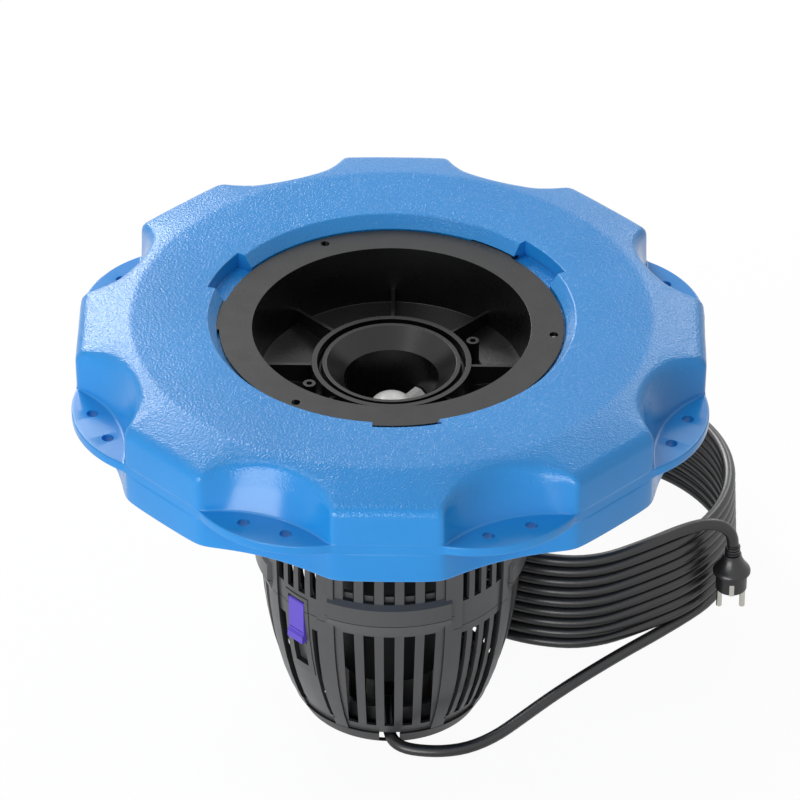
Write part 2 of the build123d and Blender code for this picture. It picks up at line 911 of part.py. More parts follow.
with BuildPart() as base_cap:
    with BuildSketch(Plane.XZ):
        turned(
            [
                (foot_radius - cap_wall, 0),
                (foot_radius - 0.8, 0),
                (foot_radius, 0.8),
                (seat_outer + rib_proud, basket_foot - 0.4),
                (tongue_foot_radius, basket_foot - 0.4),
                (tongue_foot_radius, lower_slot_foot),
                (tongue_inner, lower_slot_foot),
                (tongue_inner, plate_top + 2),
                (foot_radius - cap_wall, plate_top),
            ]
        )
    revolve()
    with BuildPart(mode=Mode.PRIVATE) as base_tongues:
        with BuildSketch(Plane.XY.offset(lower_slot_foot - 2)):
            Circle(tongue_foot_radius)
            Circle(tongue_inner, mode=Mode.SUBTRACT)
        extrude(amount=base_tongue_top - lower_slot_foot + 2)
        with BuildSketch(Plane.XY.offset(lower_slot_foot - 2)):
            for middle in (0.0, 90.0):
                for number in range(main_slots):
                    shift = (number - (main_slots - 1) / 2) * main_slot_pitch * (1 - slot_narrowing)
                    with Locations(Location((0, 0, 0), (0, 0, middle))):
                        with Locations((0, shift)):
                            Rectangle(2 * outside, base_tongue_width)
        extrude(amount=base_tongue_top - lower_slot_foot + 2, mode=Mode.INTERSECT)
    add(base_tongues.part)
    # Floor plate that carries the motor, with drain holes
    with BuildSketch(Plane.XY.offset(plate_foot)):
        Circle(tongue_inner + 1)
        with PolarLocations(drain_circle, drain_count, start_angle=90.0):
            Circle(drain_radius, mode=Mode.SUBTRACT)
    extrude(amount=plate_top - plate_foot)
    with BuildSketch(wall_plane(-90.0, foot_radius - 12)):
        with Locations((0, (window_top + window_foot) / 2)):
            Rectangle(2 * window_half_width, window_top - window_foot)
    extrude(amount=30.0, mode=Mode.SUBTRACT)
    with BuildSketch(wall_plane(-90.0, foot_radius - 12)):
        with Locations((0, (base_tongue_top + window_foot) / 2 + 1)):
            Rectangle(2 * window_half_width, base_tongue_top - window_foot + 2)
    extrude(amount=tongue_foot_radius - foot_radius + 12.0, mode=Mode.SUBTRACT)

save(base_cap.part, "base_cap")

with BuildPart() as motor_buffers:
    with BuildSketch(Plane.XY.offset(plate_top)):
        with Locations(*[polar(buffer_circle, angle) for angle in buffer_angles]):
            Circle(buffer_radius)
    extrude(amount=motor_foot - plate_top)

save(motor_buffers.part, "motor_buffers")

# Motor: can with the gland's boss under it, cover with legs, canned rotor, wound stator
gland_way = Vector(
    math.sin(math.radians(gland_turn)), -math.cos(math.radians(gland_turn)), 0
)
sleeve_end = Vector(*gland_mouth)
nut_face = sleeve_end - gland_way * sleeve_length
boss_face = nut_face - gland_way * nut_length


def across(point, way):
    """A plane through point, square to way."""
    return Plane(origin=point, z_dir=way)


with BuildPart() as motor_can:
    with BuildSketch(Plane.XY.offset(motor_foot)):
        Circle(motor_radius)
    extrude(amount=motor_top - motor_foot)
    chamfer(motor_can.faces().sort_by(Axis.Z)[0].edges(), 2.0)
    with BuildSketch(Plane.XY.offset(motor_foot + motor_wall + 1)):
        Circle(motor_radius - motor_wall)
    extrude(amount=motor_top - motor_foot, mode=Mode.SUBTRACT)
    with BuildSketch(across(boss_face, gland_way)):
        Circle(gland_boss_radius)
    extrude(amount=-gland_boss_length)
    boss_middle = boss_face - gland_way * gland_boss_length / 2
    with BuildSketch(Plane.XY.offset(boss_middle.Z)):
        with Locations(Location((boss_middle.X, boss_middle.Y, 0), (0, 0, gland_turn))):
            Rectangle(gland_boss_radius * 1.6, gland_boss_length - 1)
    extrude(amount=motor_foot + 1.5 - boss_middle.Z)

save(motor_can.part, "motor_can")

with BuildPart() as cable_gland:
    with BuildSketch(across(boss_face, gland_way)):
        RegularPolygon(nut_radius, 6)
    extrude(amount=nut_length)
    chamfer(cable_gland.faces().sort_by(SortBy.AREA)[-1].edges(), 0.8)

save(cable_gland.part, "cable_gland")

with BuildPart() as cable_sleeve:
    with BuildSketch(across(nut_face, gland_way)):
        Circle(sleeve_radius)
    with BuildSketch(across(sleeve_end, gland_way)):
        Circle(sleeve_end_radius)
    loft()

save(cable_sleeve.part, "cable_sleeve")

with BuildPart() as motor_cover:
    with BuildSketch(Plane.XZ):
        turned(
            [
                (bush_radius, hub_top),
                (hub_radius, hub_top),
                (hub_radius + 6, cover_top),
                (motor_radius, cover_top),
                (motor_radius, motor_top),
                (motor_radius - motor_wall - 0.2, motor_top),
                (motor_radius - motor_wall - 0.2, motor_top - cover_lip),
                (motor_radius - motor_wall - 3, motor_top - cover_lip),
                (motor_radius - motor_wall - 3, motor_top),
                (bush_radius, motor_top),
            ]
        )
    revolve()
    with BuildSketch(Plane.XY.offset(cover_top - 1)):
        with Locations(*[Location((*polar(leg_circle, angle), 0), (0, 0, angle)) for angle in leg_angles]):
            Rectangle(leg_size, leg_size * 1.5)
    extrude(amount=tube_foot - cover_top + 1)
    with BuildSketch(Plane.XY.offset(tube_foot - 15)):
        with Locations(*[polar(leg_circle, angle) for angle in leg_angles]):
            Circle(strainer_screw_radius)
    extrude(amount=15, mode=Mode.SUBTRACT)

save(motor_cover.part, "motor_cover")

motor_screw_points = [polar(leg_circle, angle) for angle in leg_angles]
save(
    screws(
        motor_screw_points,
        tube_foot + tube_flange_thick,
        strainer_screw_radius - 0.05,
        tube_flange_thick + 12.0,
        2.4,
        2.2,
        False,
    ),
    "motor_screws",
)

with BuildPart() as rotor_can:
    with BuildSketch(Plane.XZ):
        turned(
            [
                (0, can_floor),
                (can_bore + can_wall, can_floor),
                (can_bore + can_wall, motor_top - 0.2),
                (can_bore, motor_top - 0.2),
                (can_bore, can_floor + can_floor_thick),
                (bush_radius + 3, can_floor + can_floor_thick),
                (bush_radius + 3, can_floor + can_floor_thick + bush_length - 1),
                (bush_radius, can_floor + can_floor_thick + bush_length - 1),
                (bush_radius, can_floor + can_floor_thick),
                (0, can_floor + can_floor_thick),
            ]
        )
    revolve()
    # Stand that carries the can on the motor's floor
    with BuildSketch(Plane.XY.offset(motor_foot + motor_wall + 1)):
        Circle(can_bore - 5)
        Circle(can_bore - 8, mode=Mode.SUBTRACT)
    extrude(amount=can_floor - motor_foot - motor_wall - 1)

save(rotor_can.part, "rotor_can")


def ring(inner, outer, foot, height):
    """A plain ring that stands on the height foot."""
    with BuildPart() as piece:
        with BuildSketch(Plane.XY.offset(foot)):
            Circle(outer)
            Circle(inner, mode=Mode.SUBTRACT)
        extrude(amount=height)
    return piece.part


lower_bush_foot = can_floor + can_floor_thick
washer_foot = lower_bush_foot + bush_length
save(ring(shaft_radius + running_gap, bush_radius, lower_bush_foot, bush_length), "bearing_lower")
save(ring(shaft_radius + running_gap, bush_radius, motor_top, hub_top - motor_top), "bearing_upper")
save(ring(shaft_radius + 0.2, bush_radius, washer_foot, washer_thick), "thrust_washer")
save(ring(shaft_radius, rotor_radius, rotor_foot, rotor_length), "rotor_magnet")

with BuildPart() as shaft:
    with BuildSketch(Plane.XY.offset(shaft_foot)):
        Circle(shaft_radius)
    extrude(amount=shaft_top - shaft_foot)
    chamfer(shaft.faces().sort_by(Axis.Z)[-1].edges(), 0.6)

save(shaft.part, "shaft")

tooth_reach = can_bore + can_wall + 0.4
yoke_bore = stator_radius - yoke_thick

with BuildPart() as stator_core:
    with BuildSketch(Plane.XY.offset(stator_foot)):
        Circle(stator_radius)
        Circle(yoke_bore, mode=Mode.SUBTRACT)
        with PolarLocations(0, stator_teeth):
            Rectangle(yoke_bore + 1, tooth_width, align=(Align.MIN, Align.CENTER))
        Circle(tooth_reach, mode=Mode.SUBTRACT)
    extrude(amount=stator_length)

save(stator_core.part, "stator_core")

coil_inner = tooth_reach + 3.5
coil_outer = yoke_bore - 1.5

with BuildPart() as stator_coils:
    for tooth in range(stator_teeth):
        middle = 360.0 / stator_teeth * tooth
        with BuildSketch(wall_plane(middle, coil_inner)):
            with Locations((0, stator_foot + stator_length / 2)):
                RectangleRounded(
                    tooth_width + 2 * coil_thick, stator_length + 2 * coil_thick, coil_thick
                )
                Rectangle(tooth_width + 0.2, stator_length + 0.2, mode=Mode.SUBTRACT)
        extrude(amount=coil_outer - coil_inner)

save(stator_coils.part, "stator_coils")

# Propeller: a hub with twisted blades in the tube, and a dome over its nut
blade_reach = tube_bore - propeller_gap
propeller_top = propeller_foot + propeller_height

with BuildPart() as propeller:
    with BuildSketch(Plane.XY.offset(propeller_foot)):
        Circle(propeller_hub)
    extrude(amount=propeller_height)
    with BuildPart(mode=Mode.PRIVATE) as blades:
        for blade in range(blade_count):
            turn = 360.0 / blade_count * blade
            for step in range(4):
                low = propeller_foot + 2 + (propeller_height - 4) * step / 4
                high = propeller_foot + 2 + (propeller_height - 4) * (step + 1) / 4
                with BuildSketch(Plane.XY.offset(low)):
                    with Locations(Location((0, 0, 0), (0, 0, turn + blade_twist * step / 4))):
                        Rectangle(outside, blade_thick * 2.4, align=(Align.MIN, Align.CENTER))
                with BuildSketch(Plane.XY.offset(high)):
                    with Locations(Location((0, 0, 0), (0, 0, turn + blade_twist * (step + 1) / 4))):
                        Rectangle(outside, blade_thick * 2.4, align=(Align.MIN, Align.CENTER))
                loft()
        with BuildSketch(Plane.XY.offset(propeller_foot)):
            Circle(blade_reach)
        extrude(amount=propeller_height, mode=Mode.INTERSECT)
    add(blades.part)
    with BuildSketch(Plane.XY.offset(propeller_foot)):
        Circle(shaft_radius)
    extrude(amount=propeller_height, mode=Mode.SUBTRACT)

save(propeller.part, "propeller")

with BuildPart() as propeller_cap:
    with BuildSketch(Plane.XZ):
        with BuildLine():
            Polyline(
                (1.0, cap_top),
                (0, cap_top),
                (0, shaft_top + 0.5),
                (shaft_radius + 0.1, shaft_top + 0.5),
                (shaft_radius + 0.1, propeller_top),
                (cap_radius, propeller_top),
            )
            ThreePointArc(
                (cap_radius, propeller_top),
                (cap_radius * 0.72, propeller_top + (cap_top - propeller_top) * 0.74),
                (1.0, cap_top),
            )
        make_face()
    revolve()

save(propeller_cap.part, "propeller_cap")

# Mains cable: along the floor into an upright coil of turns stacked on each other, and down to the plug
def on_coil(radius, angle, height):
    """A point at that radius and angle round the coil's middle."""
    x, y = polar(radius, angle)
    return (coil_middle[0] + x, coil_middle[1] + y, height)


coil_height = (coil_turns - 1) * turn_pitch + cable_rest + cable_radius
last_turn = coil_height - cable_radius
tail_height = last_turn + turn_pitch  # where the cable has climbed over its own start

lead_route = [
    gland_mouth,
    (-2.16, -50.0, gland_mouth[2]),
    (-1.0, -67.0, 8.4),
    (2.5, -80.0, 6.8),
    (11.5, -87.8, 5.6),
    (27.0, -91.0, cable_rest),
    (46.0, -91.2, cable_rest),
    (66.0, -85.5, cable_rest),
    (87.0, -70.0, cable_rest),
    (106.0, -48.0, cable_rest),
    (132.0, -17.5, cable_rest),
    (160.0, 12.0, cable_rest),
    (195.0, 46.0, cable_rest),
    on_coil(coil_foot_radius, coil_join_angle, cable_rest),
]

tail_route = [
    on_coil(coil_top_radius, -100.0, last_turn),
    on_coil(coil_top_radius, -84.0, last_turn + 1.5),
    on_coil(coil_top_radius, -67.0, tail_height - 2.5),
    on_coil(coil_top_radius, coil_join_angle, tail_height),
    (250.0, 94.8, tail_height + 1.0),
    (261.5, 98.0, tail_height + 0.8),
    (270.3, 98.4, tail_height - 1.3),
    (277.4, 98.5, tail_height - 6.9),
    (plug_axis[0], plug_axis[1], plug_neck_top + 5.5),
    (plug_axis[0], plug_axis[1], plug_neck_top),
]


def corner_radii(route):
    """The largest arc that each corner's two runs allow."""
    points = [Vector(*point) for point in route]
    radii = []
    for before, corner, after in zip(points, points[1:], points[2:]):
        run_in = corner - before
        run_out = after - corner
        turn = math.radians(run_in.get_angle(run_out))
        radii.append(0.45 * min(run_in.length, run_out.length) / math.tan(turn / 2))
    return radii


def cable_tube(route, name):
    """A round tube of straight runs and tangent arcs along route."""
    radii = corner_radii(route)
    print(name, "arc radii", [round(radius) for radius in radii])
    start = Vector(*route[0])
    with BuildPart() as tube:
        with BuildLine() as path:
            FilletPolyline(*route, radius=radii)
        with BuildSketch(across(start, Vector(*route[1]) - start)):
            Circle(cable_radius)
        sweep()
    length = sum(edge.length for edge in path.edges())
    share = tube.part.volume / (math.pi * cable_radius**2 * length)
    print(name, "length", round(length, 1), "volume over section times length", round(share, 4))
    return tube.part


save(cable_tube(lead_route, "cable_lead"), "cable_lead")
save(cable_tube(tail_route, "cable_tail"), "cable_tail")

with BuildPart() as cable_coil:
    with Locations((coil_middle[0], coil_middle[1], 0)):
        for side, mode in ((1, Mode.ADD), (-1, Mode.SUBTRACT)):
            Cone(
                coil_foot_radius + side * cable_radius,
                coil_top_radius + side * cable_radius,
                coil_height,
                align=(Align.CENTER, Align.CENTER, Align.MIN),
                mode=mode,
            )

save(cable_coil.part, "cable_coil")

# Plug: moulded body with a ribbed neck, two round pins and two earth strips
plug_plane = Plane(origin=(plug_axis[0], plug_axis[1], 0), x_dir=(1, 0, 0), z_dir=(0, -1, 0))
pin_points = [
    (plug_axis[0] + side * plug_pin_spacing / 2, plug_axis[1]) for side in (-1, 1)
]
neck_steps = []
for rib_top in (plug_neck_top - 1.5, plug_neck_top - 4.2, plug_neck_top - 6.9):
    neck_steps += [
        (plug_neck_radius, rib_top),
        (plug_neck_radius + plug_neck_rib, rib_top),
        (plug_neck_radius + plug_neck_rib, rib_top - 1.5),
        (plug_neck_radius, rib_top - 1.5),
    ]

with BuildPart() as plug_body:
    with BuildSketch(plug_plane):
        with BuildLine():
            Polyline(
                (plug_collar_radius, plug_shoulder - 2.5),
                (plug_collar_radius, plug_collar_foot + 1),
                (plug_collar_radius - 1, plug_collar_foot),
                (plug_body_radius, plug_collar_foot),
                (plug_body_radius, plug_face + 1),
                (plug_body_radius - 1, plug_face),
                (0, plug_face),
                (0, plug_neck_top),
                (plug_neck_radius, plug_neck_top),
                *neck_steps,
                (plug_neck_radius, plug_neck_foot),
                (plug_waist_radius, plug_neck_foot),
            )
            Spline(
                (plug_waist_radius, plug_neck_foot),
                (plug_waist_radius + 1.9, plug_neck_foot - 6.5),
                (plug_collar_radius - 2.4, plug_shoulder + 1.4),
                (plug_collar_radius, plug_shoulder - 2.5),
                tangents=((0.1, -1), (0.3, -1)),
            )
        make_face()
    revolve(axis=Axis((plug_axis[0], plug_axis[1], 0), (0, 0, 1)))
    for side in (-1, 1):
        with BuildSketch(Plane.XY.offset(plug_face)):
            with Locations((plug_axis[0], plug_axis[1] + side * plug_body_radius)):
                Rectangle(earth_width, 2 * earth_thick)
        extrude(amount=earth_length, mode=Mode.SUBTRACT)

save(plug_body.part, "plug_body")

with BuildPart() as plug_pins:
    with BuildSketch(Plane.XY.offset(plug_face)):
        with Locations(*pin_points):
            Circle(plug_pin_radius)
    extrude(amount=-plug_pin_length)
    chamfer(plug_pins.faces().group_by(Axis.Z)[0].edges(), 0.8)

save(plug_pins.part, "plug_pins")

with BuildPart() as plug_earth:
    with BuildSketch(Plane.XY.offset(plug_face)):
        with Locations(
            *[
                (plug_axis[0], plug_axis[1] + side * (plug_body_radius - earth_thick / 2))
                for side in (-1, 1)
            ]
        ):
            Rectangle(earth_width - 0.1, earth_thick)
    extrude(amount=earth_length - 0.1)

save(plug_earth.part, "plug_earth")
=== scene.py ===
"""Floating splash aerator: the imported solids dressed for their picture.

The float and the mains cable are new meshes. The other mouldings are merged copies of their
solids with eased edges. Small screws, bearings and the motor's inside stay as they were packed.
"""

import json
import math

import bmesh
import bpy
import numpy as np
from mathutils import Matrix, Vector


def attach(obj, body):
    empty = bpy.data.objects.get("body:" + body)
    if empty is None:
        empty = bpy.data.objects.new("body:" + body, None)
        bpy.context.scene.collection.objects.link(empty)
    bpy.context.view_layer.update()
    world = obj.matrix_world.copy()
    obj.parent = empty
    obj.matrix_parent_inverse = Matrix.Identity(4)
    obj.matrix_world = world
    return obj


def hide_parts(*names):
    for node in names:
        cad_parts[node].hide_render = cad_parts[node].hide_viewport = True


MM = 0.001

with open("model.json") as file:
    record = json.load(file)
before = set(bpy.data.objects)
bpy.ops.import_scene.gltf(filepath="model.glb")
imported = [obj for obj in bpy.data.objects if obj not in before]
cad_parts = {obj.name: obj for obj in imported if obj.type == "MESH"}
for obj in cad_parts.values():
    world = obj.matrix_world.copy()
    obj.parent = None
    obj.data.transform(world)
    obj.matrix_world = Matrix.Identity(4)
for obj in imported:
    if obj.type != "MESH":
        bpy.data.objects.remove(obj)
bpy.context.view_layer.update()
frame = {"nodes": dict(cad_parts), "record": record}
nodes = frame["nodes"]

# Camera of the photograph: a long lens from the front, looking down on the float
camera_data = bpy.data.cameras.new("camera")
camera_data.lens = 278.67
camera_data.sensor_width = 36.0
camera_data.clip_end = 50.0
camera = bpy.data.objects.new("camera", camera_data)
bpy.context.scene.collection.objects.link(camera)
to_right = Vector((0.9999139, 0.0128441, 0.0026883))
to_top = Vector((-0.0096026, 0.5765637, 0.8169958))
to_back = Vector((0.0089436, -0.8169512, 0.5766374))
turn = Matrix((to_right, to_top, to_back)).transposed().to_4x4()
camera.matrix_world = Matrix.Translation((0.05066, -4.00586, 3.11445)) @ turn
bpy.context.scene.camera = camera


# Finishes
def new_finish(name):
    """An empty material with its shader and the object's own coordinates."""
    finish = bpy.data.materials.new(name)
    finish.use_nodes = True
    tree = finish.node_tree
    shader = tree.nodes["Principled BSDF"]
    place = tree.nodes.new("ShaderNodeTexCoord")
    return finish, tree, shader, place.outputs["Object"]


def noise(tree, place, scale, detail=2.0):
    """Cloudy noise, scale lumps to the metre."""
    node = tree.nodes.new("ShaderNodeTexNoise")
    node.inputs["Scale"].default_value = scale
    node.inputs["Detail"].default_value = detail
    node.inputs["Roughness"].default_value = 0.5
    tree.links.new(place, node.inputs["Vector"])
    return node.outputs["Fac"]


def spread(tree, value, low, high, at_low=0.0, at_high=1.0):
    """Carries a value from one range into another."""
    node = tree.nodes.new("ShaderNodeMapRange")
    node.inputs["From Min"].default_value = low
    node.inputs["From Max"].default_value = high
    node.inputs["To Min"].default_value = at_low
    node.inputs["To Max"].default_value = at_high
    tree.links.new(value, node.inputs["Value"])
    return node.outputs["Result"]


def tint(tree, value, dark, light):
    """A colour between dark and light as value goes from 0 to 1."""
    node = tree.nodes.new("ShaderNodeMix")
    node.data_type = "RGBA"
    node.inputs["A"].default_value = (*dark, 1.0)
    node.inputs["B"].default_value = (*light, 1.0)
    tree.links.new(value, node.inputs["Factor"])
    return node.outputs["Result"]


def times(tree, first, second):
    """The product of two values."""
    node = tree.nodes.new("ShaderNodeMath")
    node.operation = "MULTIPLY"
    tree.links.new(first, node.inputs[0])
    tree.links.new(second, node.inputs[1])
    return node.outputs[0]


def relief(tree, shader, height, depth):
    """Bump of a height field, depth in metres."""
    node = tree.nodes.new("ShaderNodeBump")
    node.inputs["Strength"].default_value = 1.0
    node.inputs["Distance"].default_value = depth
    tree.links.new(height, node.inputs["Height"])
    tree.links.new(node.outputs["Normal"], shader.inputs["Normal"])


def shade(colour, share):
    """A colour made darker or lighter by a share."""
    return tuple(min(1.0, part * share) for part in colour)


def moulded(name, colour, rough, grain=900.0, depth=0.00003, sheen=0.5):
    """Moulded stuff: a slightly clouded colour, uneven gloss and a fine grain."""
    finish, tree, shader, place = new_finish(name)
    cloud = spread(tree, noise(tree, place, 14.0, 3.0), 0.3, 0.7)
    tree.links.new(
        tint(tree, cloud, shade(colour, 0.92), shade(colour, 1.08)), shader.inputs["Base Color"]
    )
    wear = noise(tree, place, 60.0, 3.0)
    gloss = spread(tree, wear, 0.3, 0.7, rough - 0.02, rough + 0.02)
    tree.links.new(gloss, shader.inputs["Roughness"])
    shader.inputs["Specular IOR Level"].default_value = sheen
    relief(tree, shader, noise(tree, place, grain, 2.0), depth)
    return finish


def basket_plastic():
    """Black moulded plastic, glossy on what faces out from the pump's axis and dull within, with
    painted shade: its colour goes nearly black on what faces in towards the axis.

    Outward is the face's normal times the level direction from the axis to the place.
    """
    finish, tree, shader, place = new_finish("basket_moulding")
    level = tree.nodes.new("ShaderNodeVectorMath")
    level.operation = "MULTIPLY"
    level.inputs[1].default_value = (1.0, 1.0, 0.0)
    tree.links.new(place, level.inputs[0])
    away = tree.nodes.new("ShaderNodeVectorMath")
    away.operation = "NORMALIZE"
    tree.links.new(level.outputs[0], away.inputs[0])
    facing = tree.nodes.new("ShaderNodeNewGeometry")
    outward = tree.nodes.new("ShaderNodeVectorMath")
    outward.operation = "DOT_PRODUCT"
    tree.links.new(away.outputs[0], outward.inputs[0])
    tree.links.new(facing.outputs["True Normal"], outward.inputs[1])
    # Painted shade: this share is 1 on faces that look out from the axis and 0 on faces that look
    # in
    outward_not_shaded = spread(tree, outward.outputs["Value"], -0.1, 0.5)
    cloud = spread(tree, noise(tree, place, 14.0, 3.0), 0.3, 0.7, 0.85, 1.0)
    # Painted shade inside the basket: near-black on inward faces, the plastic's own dark grey on
    # outward faces
    tree.links.new(
        tint(tree, times(tree, outward_not_shaded, cloud), (0.003, 0.003, 0.003), (0.07, 0.07, 0.072)),
        shader.inputs["Base Color"],
    )
    tree.links.new(spread(tree, outward_not_shaded, 0.0, 1.0, 0.75, 0.32), shader.inputs["Roughness"])
    shader.inputs["Specular IOR Level"].default_value = 0.5
    relief(tree, shader, noise(tree, place, 1400.0, 2.0), 0.00004)
    return finish


def float_blue():
    """Blown blue plastic: a coarse leathery grain on what faces up, and smooth walls."""
    finish, tree, shader, place = new_finish("float_blue")
    cloud = spread(tree, noise(tree, place, 9.0, 3.0), 0.3, 0.7)
    tree.links.new(
        tint(tree, cloud, (0.012, 0.225, 0.6), (0.018, 0.255, 0.66)), shader.inputs["Base Color"]
    )
    facing = tree.nodes.new("ShaderNodeNewGeometry")
    split = tree.nodes.new("ShaderNodeSeparateXYZ")
    tree.links.new(facing.outputs["True Normal"], split.inputs[0])
    upward = spread(tree, split.outputs["Z"], 0.1, 0.45)
    heights = tree.nodes.new("ShaderNodeSeparateXYZ")
    tree.links.new(place, heights.inputs[0])
    on_top = times(tree, upward, spread(tree, heights.outputs["Z"], 0.345, 0.35))
    grain = noise(tree, place, 640.0, 1.0)
    relief(tree, shader, times(tree, grain, on_top), 0.0005)
    tree.links.new(spread(tree, on_top, 0.0, 1.0, 0.19, 0.2), shader.inputs["Roughness"])
    shader.inputs["Specular IOR Level"].default_value = 0.4
    return finish


def drawn_steel(name, colour, rough):
    """Bare metal with fine lines round the axis."""
    finish, tree, shader, place = new_finish(name)
    stretch = tree.nodes.new("ShaderNodeMapping")
    stretch.inputs["Scale"].default_value = (1.0, 1.0, 40.0)
    tree.links.new(place, stretch.inputs["Vector"])
    lines = noise(tree, stretch.outputs["Vector"], 60.0, 2.0)
    shader.inputs["Metallic"].default_value = 1.0
    tree.links.new(tint(tree, lines, shade(colour, 0.85), colour), shader.inputs["Base Color"])
    tree.links.new(spread(tree, lines, 0.3, 0.7, rough, rough + 0.12), shader.inputs["Roughness"])
    relief(tree, shader, lines, 0.00003)
    return finish


finishes = {
    "float_plastic": float_blue(),
    "basket_plastic": basket_plastic(),
    "black_plastic": moulded("black_moulding", (0.024, 0.024, 0.025), 0.38, 1400.0, 0.00004),
    "bowl_plastic": moulded("bowl_moulding", (0.005, 0.005, 0.0055), 0.28),
    "latch_plastic": moulded("latch_violet", (0.11, 0.06, 0.55), 0.35, 1200.0, 0.00002),
    "propeller_plastic": moulded("propeller_white", (0.74, 0.74, 0.73), 0.35),
    "seal_rubber": moulded("seal_rubber", (0.012, 0.012, 0.012), 0.55),
    "cable_rubber": moulded("cable_rubber", (0.009, 0.009, 0.01), 0.33, 700.0, 0.00005, 0.7),
    "screw_steel": drawn_steel("screw_steel", (0.6, 0.6, 0.58), 0.25),
    "motor_steel": drawn_steel("motor_steel", (0.03, 0.03, 0.032), 0.4),
    "shaft_steel": drawn_steel("shaft_steel", (0.7, 0.7, 0.7), 0.15),
    "core_steel": drawn_steel("core_steel", (0.18, 0.18, 0.19), 0.4),
    "winding": moulded("winding_enamel", (0.42, 0.13, 0.04), 0.3, 2500.0, 0.0001),
    "magnet_dark": moulded("magnet_dark", (0.03, 0.03, 0.033), 0.45, 1500.0, 0.00005),
    "bush_plastic": moulded("bushing", (0.06, 0.055, 0.05), 0.4),
    "pin_brass": drawn_steel("plated_pins", (0.7, 0.68, 0.62), 0.18),
}


# Ways to make pieces
def finish_piece(piece, slot, body, replaced=(), finish=None):
    """Gives a piece its material, chosen by its slot or finish, and its body, and hides the nodes
    it replaces.
    """
    piece.data.materials.clear()
    piece.data.materials.append(finishes[finish or slot])
    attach(piece, body)
    if replaced:
        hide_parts(*replaced)
    return piece


def surface(name, points, faces, sharp):
    """A mesh from an array of points in mm and an array of corners, creased past sharp degrees."""
    mesh = bpy.data.meshes.new(name)
    mesh.from_pydata((points * MM).tolist(), [], faces.tolist())
    mesh.validate()
    mesh.shade_smooth()
    mesh.set_sharp_from_angle(angle=math.radians(sharp))
    piece = bpy.data.objects.new(name, mesh)
    bpy.context.scene.collection.objects.link(piece)
    return piece


def ring_faces(rows, columns):
    """Corners of the quads of rows times columns points, a grid that closes both ways."""
    row, column = np.meshgrid(np.arange(rows), np.arange(columns), indexing="ij")
    after_row = (row + 1) % rows
    after_column = (column + 1) % columns
    quads = np.stack(
        [
            row * columns + column,
            row * columns + after_column,
            after_row * columns + after_column,
            after_row * columns + column,
        ],
        axis=-1,
    )
    return quads.reshape(-1, 4)


def rounded(corners, cut, steps):
    """A closed outline, or a stack of them, with each corner replaced by a small parabola.

    The parabola starts and ends at the distance cut from the corner, at most 0.45 of the run,
    and is (1 - t)^2 of its start plus 2 t (1 - t) of the corner plus t^2 of its end.
    """
    before = np.roll(corners, 1, axis=-2) - corners
    after = np.roll(corners, -1, axis=-2) - corners
    run_in = np.linalg.norm(before, axis=-1)
    run_out = np.linalg.norm(after, axis=-1)
    reach = np.minimum(cut, 0.45 * np.minimum(run_in, run_out))
    start = corners + before * (reach / run_in)[..., None]
    end = corners + after * (reach / run_out)[..., None]
    t = np.linspace(0.0, 1.0, steps)[:, None]
    curve = (
        (1 - t) ** 2 * start[..., None, :]
        + 2 * t * (1 - t) * corners[..., None, :]
        + t**2 * end[..., None, :]
    )
    return curve.reshape(*corners.shape[:-2], -1, corners.shape[-1])


def facing_out(piece):
    """Turns the faces of a closed mesh outwards."""
    work = bmesh.new()
    work.from_mesh(piece.data)
    bmesh.ops.remove_doubles(work, verts=work.verts, dist=1e-7)
    bmesh.ops.recalc_face_normals(work, faces=work.faces)
    work.to_mesh(piece.data)
    work.free()


def eased(piece, width):
    """Rounds the sharp edges of a piece, width in mm."""
    bevel = piece.modifiers.new("eased_edges", "BEVEL")
    bevel.width = width * MM
    bevel.segments = 2
    bevel.limit_method = "ANGLE"
    bevel.angle_limit = math.radians(30.0)
    bevel.harden_normals = True
    bevel.use_clamp_overlap = True
    weighted = piece.modifiers.new("even_faces", "WEIGHTED_NORMAL")
    weighted.keep_sharp = True


def dressed(node, body, slot, ease, finish=None):
    """A merged copy of a CAD node with eased edges, in the node's place."""
    mesh = nodes[node].data.copy()
    piece = bpy.data.objects.new(node + "_dressed", mesh)
    bpy.context.scene.collection.objects.link(piece)
    work = bmesh.new()
    work.from_mesh(mesh)
    bmesh.ops.remove_doubles(work, verts=work.verts, dist=2e-6)
    bmesh.ops.dissolve_limit(
        work, angle_limit=math.radians(0.5), verts=work.verts, edges=work.edges
    )
    work.to_mesh(mesh)
    work.free()
    mesh.shade_smooth()
    mesh.set_sharp_from_angle(angle=math.radians(28.0))
    eased(piece, ease)
    return finish_piece(piece, slot, body, [node], finish)


# Mains cable: one smooth line from the gland over the floor, round the coil and down to the plug
cable_radius = 5.0
coil_turns = 9
coil_points = 36
coil_start = -50.0
coil_foot = 5.2
turn_pitch = 10.05
coil_foot_radius = 133.3
coil_lean = 6.5
coil_middle = (151.0, 187.0)
coil_drift = (2.2, -2.0)

lead_points = [
    (-3.0, -38.0, 15.0),
    (-2.16, -50.0, 15.0),
    (-1.0, -67.0, 8.4),
    (2.5, -80.0, 6.8),
    (11.5, -87.8, 5.6),
    (27.0, -91.0, 5.2),
    (46.0, -91.2, 5.2),
    (66.0, -85.5, 5.2),
    (87.0, -70.0, 5.2),
    (106.0, -48.0, 5.2),
    (132.0, -17.5, 5.2),
    (160.0, 12.0, 5.2),
    (195.0, 46.0, 5.2),
    (217.0, 65.8, 5.2),
]
tail_points = [
    (250.0, 94.8, 96.65),
    (261.5, 98.0, 96.45),
    (270.3, 98.4, 94.35),
    (277.4, 98.5, 88.75),
    (280.4, 98.5, 80.5),
    (280.4, 98.5, 75.0),
]


